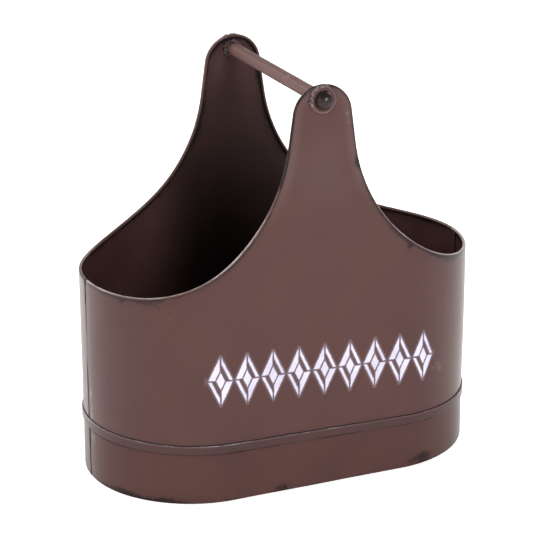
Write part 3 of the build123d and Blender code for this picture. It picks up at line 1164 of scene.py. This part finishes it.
@dataclass
class Handle:
    """Bar between the ears, with a washer and a ball head outside each of them.

    Args:
        axis_z: height of the bar's axis.
        bar_radius: radius of the bar.
        inner: distance from the basket's middle to an ear's inner face.
        outer: distance to an ear's outer face.
        washer_radius: radius of the washers.
        washer: thickness of the washers.
        ball: radius of the ball heads.
        standoff: distance from a washer's face to the middle of its ball.
    """

    axis_z: float
    bar_radius: float
    inner: float
    outer: float
    washer_radius: float
    washer: float
    ball: float
    standoff: float

    def bar(self, material: Material) -> Piece:
        """The round bar, a little uneven under its paint."""
        depths = np.linspace(-self.inner, self.inner, 60)
        centre = 0.2 * MM
        profile = [(centre, -self.inner), *((self.bar_radius, depth) for depth in depths)]
        profile.append((centre, self.inner))

        def uneven(angle: float, share: float) -> float:
            """Slow waves in the bar's surface."""
            if share < 0.03 or share > 0.97:
                return 0.0
            return -0.06 * MM * (1 + math.sin(3 * angle + 9 * share) * math.sin(23 * share))

        # Painted light: the bar pales towards its front end and stays darker towards its rear.
        paler_to_front = [0.22 * min(1.0, max(0.0, 0.5 + 0.6 * depth / self.inner)) for _, depth in profile]
        return Turned(self.axis_z, Side.FRONT, 64).build("bar_round", profile, paler_to_front, material, uneven)

    def washer_ring(self, side: Side, material: Material) -> Piece:
        """A flat ring with rounded edges."""
        bore, edge = 4.0 * MM, 0.35 * MM
        low, high = self.outer, self.outer + self.washer
        profile = [(bore, low), (self.washer_radius, low), (self.washer_radius, high - edge)]
        for degrees in (22, 45, 68, 90):
            turn = math.radians(degrees)
            inwards, down = edge * (1 - math.cos(turn)), edge * (1 - math.sin(turn))
            profile.append((self.washer_radius - inwards, high - down))
        profile += [(self.washer_radius * 0.85, high), (bore, high)]
        # The rounded edge is pale, partly wear, partly painted highlight on the ridge.
        worn_and_sheen = [0, 0, 0.2, 0.5, 0.6, 0.5, 0.3, 0, 0]

        def uneven(angle: float, share: float) -> float:
            """A hand-cut rim with flats rather than a true circle."""
            if 0.05 < share < 0.7:
                return -0.3 * MM * (1 + math.sin(5 * angle + side.value) * 0.7 + 0.3 * math.sin(11 * angle))
            return 0.0

        name = f"{side.end}_washer_ring"
        return Turned(self.axis_z, side).build(name, profile, worn_and_sheen, material, uneven)

    def ball_head(self, side: Side, material: Material) -> Piece:
        """A ball with a flat seat on its washer."""
        seat = self.outer + self.washer
        start = math.acos(-self.standoff / self.ball)
        profile = [(0.05 * MM, seat)]
        for turn in np.linspace(start, 0.02, 40):
            profile.append((self.ball * math.sin(turn), seat + self.standoff + self.ball * math.cos(turn)))
        profile.append((0.02 * MM, seat + self.standoff + self.ball * math.cos(0.01)))
        worn_and_sheen = [0.0] * len(profile)
        return Turned(self.axis_z, side).build(f"{side.end}_ball", profile, worn_and_sheen, material)


@dataclass
class WeldBead:
    """Crumbly weld along part of a ring: overlapping grains scattered by Geometry Nodes.

    Args:
        axis_z: height of the ring's middle.
        depth: distance along Y of the ring, with its sign.
        radius: radius of the ring.
        start: where the bead starts, in degrees from +X towards +Z.
        sweep: how far it runs, in degrees.
        grain: radius of the larger grains.
        count: how many grains.
        seed: which scatter.
        sheet: distance along Y, with its sign, of the sheet's face that the bead lies on.
        ceiling: height that no grain stands over.
    """

    axis_z: float
    depth: float
    radius: float
    start: float
    sweep: float
    grain: float
    count: int
    seed: int
    sheet: float
    ceiling: float

    def path(self) -> Piece:
        """The bead's line as an open poly curve."""
        steps = 64
        turns = np.radians(np.linspace(self.start, self.start + self.sweep, steps))
        line = np.stack([self.radius * np.cos(turns), np.full(steps, self.depth),
                         self.axis_z + self.radius * np.sin(turns)], 1)
        return poly_line("weld_path", line, closed=False)

    def tree(self, material: Material) -> Tree:
        """Grains along the line, jittered, scaled and joined."""
        inputs = {"Grain radius": "Float", "Grain count": "Int", "Seed": "Int"}
        tree, given = started("weld_grains", inputs)
        radius, seed = given.outputs["Grain radius"], given.outputs["Seed"]
        line = put(tree, "GeometryNodeResampleCurve", {"mode": "COUNT"},
                   {"Curve": given.outputs[0], "Count": given.outputs["Grain count"]})
        points = put(tree, "GeometryNodeCurveToPoints", {"mode": "EVALUATED"}, {"Curve": line})
        twice = put(tree, MATH, "MULTIPLY", (radius, 2.2))
        jitter = put(tree, "FunctionNodeRandomValue", {"data_type": "FLOAT_VECTOR"},
                     {"Min": (-0.75, -0.25, -0.75), "Max": (0.75, 0.25, 0.75), "Seed": seed})
        scaled = put(tree, "ShaderNodeVectorMath", "SCALE", {0: jitter, "Scale": radius})
        moved = put(tree, "GeometryNodeSetPosition", {}, {"Geometry": points, "Offset": scaled})
        ball = put(tree, "GeometryNodeMeshIcoSphere", {}, {"Radius": radius, "Subdivisions": 3})
        sizes = put(tree, "FunctionNodeRandomValue", {"data_type": "FLOAT"},
                    {2: 0.45, 3: 1.0, "Seed": seed}, 1)
        turned = put(tree, "FunctionNodeRandomValue", {"data_type": "FLOAT_VECTOR"},
                     {"Max": (6.28, 6.28, 6.28), "Seed": seed})
        spread = put(tree, "GeometryNodeInstanceOnPoints", {},
                     {"Points": moved, "Instance": ball, "Scale": sizes, "Rotation": turned})
        real = put(tree, "GeometryNodeRealizeInstances", {}, {0: spread})
        place = put(tree, "GeometryNodeInputPosition")
        rough = put(tree, NOISE, {"noise_dimensions": "3D"},
                    {"Vector": place, "Scale": 620.0, "Detail": 3.0}, "Color")
        centred = put(tree, "ShaderNodeVectorMath", "SUBTRACT", (rough, (0.5, 0.5, 0.5)))
        size = put(tree, "ShaderNodeVectorMath", "SCALE", {0: centred, "Scale": twice})
        crumbly = put(tree, "GeometryNodeSetPosition", {}, {"Geometry": real, "Offset": size})
        smooth = put(tree, "GeometryNodeSetShadeSmooth", {}, {0: crumbly})
        dressed = put(tree, "GeometryNodeSetMaterial", {}, {"Geometry": smooth, "Material": material})
        put(tree, "NodeGroupOutput", {}, {0: dressed}, -1)
        return tree

    def build(self, name: str, material: Material) -> Piece:
        """Make the bead."""
        sizes = {"Grain radius": self.grain, "Grain count": self.count, "Seed": self.seed}
        piece = grown(name, self.path(), self.tree(material), sizes)
        outside = self.depth > self.sheet
        for vertex in piece.data.vertices:
            y = vertex.co.y
            vertex.co.y = max(y, self.sheet) if outside else min(y, self.sheet)
            vertex.co.z = min(vertex.co.z, self.ceiling)
        return piece


# ---------------------------------------------------------------- studio


@dataclass(frozen=True)
class Lamp:
    """A rectangular soft light that faces a point.

    Args:
        name: what it is called.
        place: where it hangs, in metres.
        size: its width and height.
        power: its power in watts.
        towards: the point that it faces.
    """

    name: str
    place: Point
    size: tuple[float, float]
    power: float
    towards: Point = (0.0, 0.0, 0.2)

    def hang(self) -> None:
        """Put the light into the scene."""
        data = bpy.data.lights.new(self.name, "AREA")
        data.shape = "RECTANGLE"
        data.size, data.size_y = self.size
        data.energy = self.power
        lamp = linked(self.name, data)
        lamp.location = self.place
        lamp.rotation_mode = "QUATERNION"
        lamp.rotation_quaternion = (Vector(self.towards) - Vector(self.place)).to_track_quat("-Z", "Y")


@dataclass
class Studio:
    """Pale floor, soft lights and the camera.

    Args:
        azimuth: where the camera stands, in degrees, zero looking along +Y.
        elevation: its height above the horizon, in degrees.
        distance: from the aim point, in metres.
        lens: focal length for a 36 mm wide sensor, in millimetres.
        aim: the aim point before the two shifts.
        right: how far the aim moves to the camera's right.
        up: how far it moves up in the camera's view.
        glow: light that the floor gives off, as white paper under side lights.
        horizon: brightness of the surroundings near the horizon.
        warmth: their colour.
        overhead: their brightness overhead.
        lamps: one key light, a faint strip from the left and two behind that whiten the backdrop.
    """

    azimuth: float = -23.77
    elevation: float = 19.93
    distance: float = 2.0057
    lens: float = 138.6
    aim: Point = (0.0, 0.0, 0.19)
    right: float = -0.36 * MM
    up: float = -15.66 * MM
    glow: float = 0.6
    horizon: float = 1.06
    warmth: tuple[float, float, float, float] = (1.0, 0.965, 0.955, 1.0)
    overhead: float = 0.05
    lamps: Sequence[Lamp] = (
        Lamp("key", (0.1, -2.1, 1.5), (0.7, 0.7), 33.5),
        Lamp("left_strip", (-2.2, -0.3, 0.9), (0.5, 1.2), 4),
        Lamp("backdrop_left", (-0.9, 1.1, 1.3), (0.9, 0.9), 24, (-0.5, 0.5, 0.0)),
        Lamp("backdrop_right", (1.3, 1.1, 1.3), (0.9, 0.9), 17, (0.9, 0.6, 0.0)),
    )

    def world(self) -> None:
        """Pale surroundings that are bright near the horizon and dim overhead."""
        world = bpy.data.worlds.new("studio")
        world.use_nodes = True
        tree = world.node_tree
        tree.nodes.clear()
        heading = put(tree, "ShaderNodeTexCoord", out="Generated")
        parts = put(tree, "ShaderNodeSeparateXYZ", {}, {0: heading}, -1)
        level = put(tree, RANGE, EASED, (parts.outputs["Z"], 0.15, 0.7, self.horizon, self.overhead))
        sky = put(tree, "ShaderNodeBackground", {}, {"Color": self.warmth, "Strength": level})
        put(tree, "ShaderNodeOutputWorld", {}, {"Surface": sky}, -1)
        bpy.context.scene.world = world

    def camera(self) -> None:
        """Place the camera and make it the scene's."""
        a, e = math.radians(self.azimuth), math.radians(self.elevation)
        back = Vector((math.sin(a) * math.cos(e), -math.cos(a) * math.cos(e), math.sin(e)))
        turn = (-back).to_track_quat("-Z", "Y")
        shift = turn @ Vector((self.right, self.up, 0))
        data = bpy.data.cameras.new("camera")
        data.sensor_width = 36.0
        data.lens = self.lens
        data.clip_start, data.clip_end = 0.05, 50.0
        camera = linked("camera", data)
        camera.location = Vector(self.aim) + shift + back * self.distance
        camera.rotation_mode = "QUATERNION"
        camera.rotation_quaternion = turn
        bpy.context.scene.camera = camera

    def floor(self) -> None:
        """A large pale floor that runs out of sight and glows a little, as a lit backdrop does."""
        size = 30.0
        mesh = bpy.data.meshes.new("floor")
        corners = [(-size, -size, 0), (size, -size, 0), (size, size, 0), (-size, size, 0)]
        mesh.from_pydata(corners, [], [(0, 1, 2, 3)])
        paper = PlainFinish("studio_paper", "F2F2F1", "EEEEED", 0.9, grain=0.5, specular=0.1).make()
        shader = next(node for node in paper.node_tree.nodes if node.type == "BSDF_PRINCIPLED")
        shader.inputs["Emission Color"].default_value = (1.0, 1.0, 1.0, 1.0)
        shader.inputs["Emission Strength"].default_value = self.glow
        mesh.materials.append(paper)
        linked("floor", mesh)

    def build(self) -> None:
        """Make floor, lights, surroundings and camera."""
        self.floor()
        self.world()
        for lamp in self.lamps:
            lamp.hang()
        self.camera()


def finishes(axis_z: float, washer_radius: float, bar_radius: float) -> dict[str, Material]:
    """Make every finish.

    Args:
        axis_z: height of the bar's axis.
        washer_radius: radius of the washers.
        bar_radius: radius of the bar.

    Returns:
        The materials by their names.
    """
    crease = (axis_z, washer_radius + 0.4 * MM)
    inner_crease = (axis_z, bar_radius + 2.6 * MM)
    # Sprayed satin enamel: broad soft highlights. The bar's is paler and duller, partly as a painted
    # highlight for the light on the bar, the skirt's is redder, and inside it is darker, with painted shade.
    paints = (
        SheetPaint("satin_enamel", joint=crease),
        SheetPaint("satin_enamel_stencilled", stencil=Stencil(), joint=crease),
        # The bar's paler paint is partly a painted highlight for the light on its top.
        SheetPaint("satin_enamel_bar_highlit", body="664A47", cloud="5E433E", bare="B39590", roughness=0.5,
                   specular=0.12),
        SheetPaint("satin_enamel_washer", body="5E403D", cloud="553A37", roughness=0.4),
        SheetPaint("floor_enamel", body="472F2D", cloud="3C2625", roughness=0.5, specular=0.15),
        SheetPaint("satin_enamel_band", body="472E2C", cloud="402A29"),
        SheetPaint("satin_enamel_skirt", body="503531", cloud="4B322F", specular=0.13),
        # Inside: darker paint, with painted shade low down and midway between the ends.
        SheetPaint("inside_enamel", body="472F2D", cloud="3C2625", bare="6A5C58", grime_and_shade="0C0707",
                   roughness=0.5, specular=0.15, joint=inner_crease, inside_shade=InsideShade()),
    )
    # Dust and shadow behind the open seams, glossy gunmetal with a small sharp highlight, weld
    # spatter with paint or soot in its hollows, and bright drawn wire.
    others = (
        PlainFinish("seam_dust_and_shade", "0E0909", "161010", 0.9, grain=2 * MM, specular=0.05),
        PlainFinish("gunmetal_enamel", "2B1D1C", "241818", 0.3, grain=2 * MM, bump=0.02 * MM,
                    specular=0.32),
        PlainFinish("painted_weld", "170D0C", "9C8683", 0.35, grain=1.5 * MM, bump=0.3 * MM),
        PlainFinish("sooty_weld", "0A0605", "6E5A57", 0.35, grain=1.5 * MM, bump=0.3 * MM),
        PlainFinish("drawn_steel_wire", "8C8A88", "7A7876", 0.35, metallic=1.0),
    )
    return {finish.name: finish.make() for finish in (*paints, *others)}


def main() -> None:
    """Build every piece in order, then the studio."""
    logging.basicConfig(level=logging.INFO, format="%(message)s")
    floor_low, floor_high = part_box("floor_pan")
    band_low, band_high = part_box("seam_band")
    bar_low, bar_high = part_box("handle_bar")
    ring_low, ring_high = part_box("front_washer")
    ball_low, ball_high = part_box("front_ball_head")
    ear_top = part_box("front_panel")[1].z
    plan = Oblong(floor_high.x, floor_high.y)
    axis_z = (bar_low.z + bar_high.z) / 2
    bar_radius = (bar_high.z - bar_low.z) / 2
    washer_radius = (ring_high.x - ring_low.x) / 2
    looks = finishes(axis_z, washer_radius, bar_radius)
    inside = looks["inside_enamel"]

    band = SeamBand(plan, (band_low.z + band_high.z) / 2, BAND_SLOPE,
                    tall=band_high.z - band_low.z - 2 * BAND_SLOPE * band_high.x,
                    proud=band_high.x - plan.half_width - plan.straight)
    # Each sheet's paint, how pale its roll is from wear and painted highlight, and how far round the roll
    # painted shade darkens it.
    sheets = ((Side.FRONT, "satin_enamel_stencilled", 0.74, 15), (Side.REAR, "satin_enamel", 0.34, 60))
    for side, paint, rubbed_and_sheen, shade_to in sheets:
        sheet = BellSheet(plan, side, floor_high.z, RIM_HEIGHT, ear_top, band.lip, rubbed_and_sheen, shade_to)
        report(sheet.build([looks[paint], inside]), "painted_sheet", f"{side.end}_panel")
    report(band.build(looks["satin_enamel_band"]), "painted_band", "seam_band")
    skirt = Skirt(plan, floor_low.z)
    report(skirt.build([looks["satin_enamel_skirt"], inside], lambda s: band.lip(s) - band.tall),
           "painted_sheet", "skirt")
    lap_top = RIM_HEIGHT - 4 * MM
    laps = (("left_body_lap", 0.0, floor_high.z, lap_top),
            ("right_body_lap", 2 * plan.reach, floor_high.z, lap_top),
            ("skirt_lap", 0.0, skirt.hem + 0.4 * MM, floor_low.z))
    for name, centre, low, high in laps:
        report(Lap(plan, centre, low, high).build(name, [looks["seam_dust_and_shade"], inside]), "painted_sheet")
    wire = "drawn_steel_wire"
    for node, finish in (("floor_pan", "floor_enamel"), ("front_rim_wire", wire), ("rear_rim_wire", wire)):
        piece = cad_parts[node]
        piece.data.materials.clear()
        piece.data.materials.append(looks[finish])
        LOG.info("%s: kept as made, with a new finish", node)

    ball = (ball_high.z - ball_low.z) / 2
    handle = Handle(axis_z, bar_radius, inner=-ring_high.y - GAUGE, outer=-ring_high.y,
                    washer_radius=washer_radius, washer=ring_high.y - ring_low.y,
                    ball=ball, standoff=ball_high.y - ball_low.y - ball)
    report(handle.bar(looks["satin_enamel_bar_highlit"]), "painted_bar", "handle_bar")
    for side in Side:
        washer = handle.washer_ring(side, looks["satin_enamel_washer"])
        report(washer, "painted_bar", f"{side.end}_washer")
        report(handle.ball_head(side, looks["gunmetal_enamel"]), "ball_head", f"{side.end}_ball_head")
        outer = WeldBead(axis_z, side.value * (handle.outer + 0.9 * MM), washer_radius, start=70, sweep=130,
                         grain=1.5 * MM, count=44, seed=3, sheet=side.value * handle.outer,
                         ceiling=ear_top - 0.2 * MM)
        inner = WeldBead(axis_z, side.value * (handle.inner - 0.8 * MM), bar_radius + 0.8 * MM, start=0,
                         sweep=352, grain=1.9 * MM, count=52, seed=5, sheet=side.value * handle.inner,
                         ceiling=ear_top)
        for bead, place, finish in ((outer, "outer", "painted_weld"), (inner, "inner", "sooty_weld")):
            piece = bead.build(f"{side.end}_{place}_bead", looks[finish])
            report(piece, "weld_bead", f"{side.end}_{place}_weld")
    Studio().build()
    bpy.context.scene.view_settings.view_transform = "Standard"


if __name__ == "__main__":
    main()
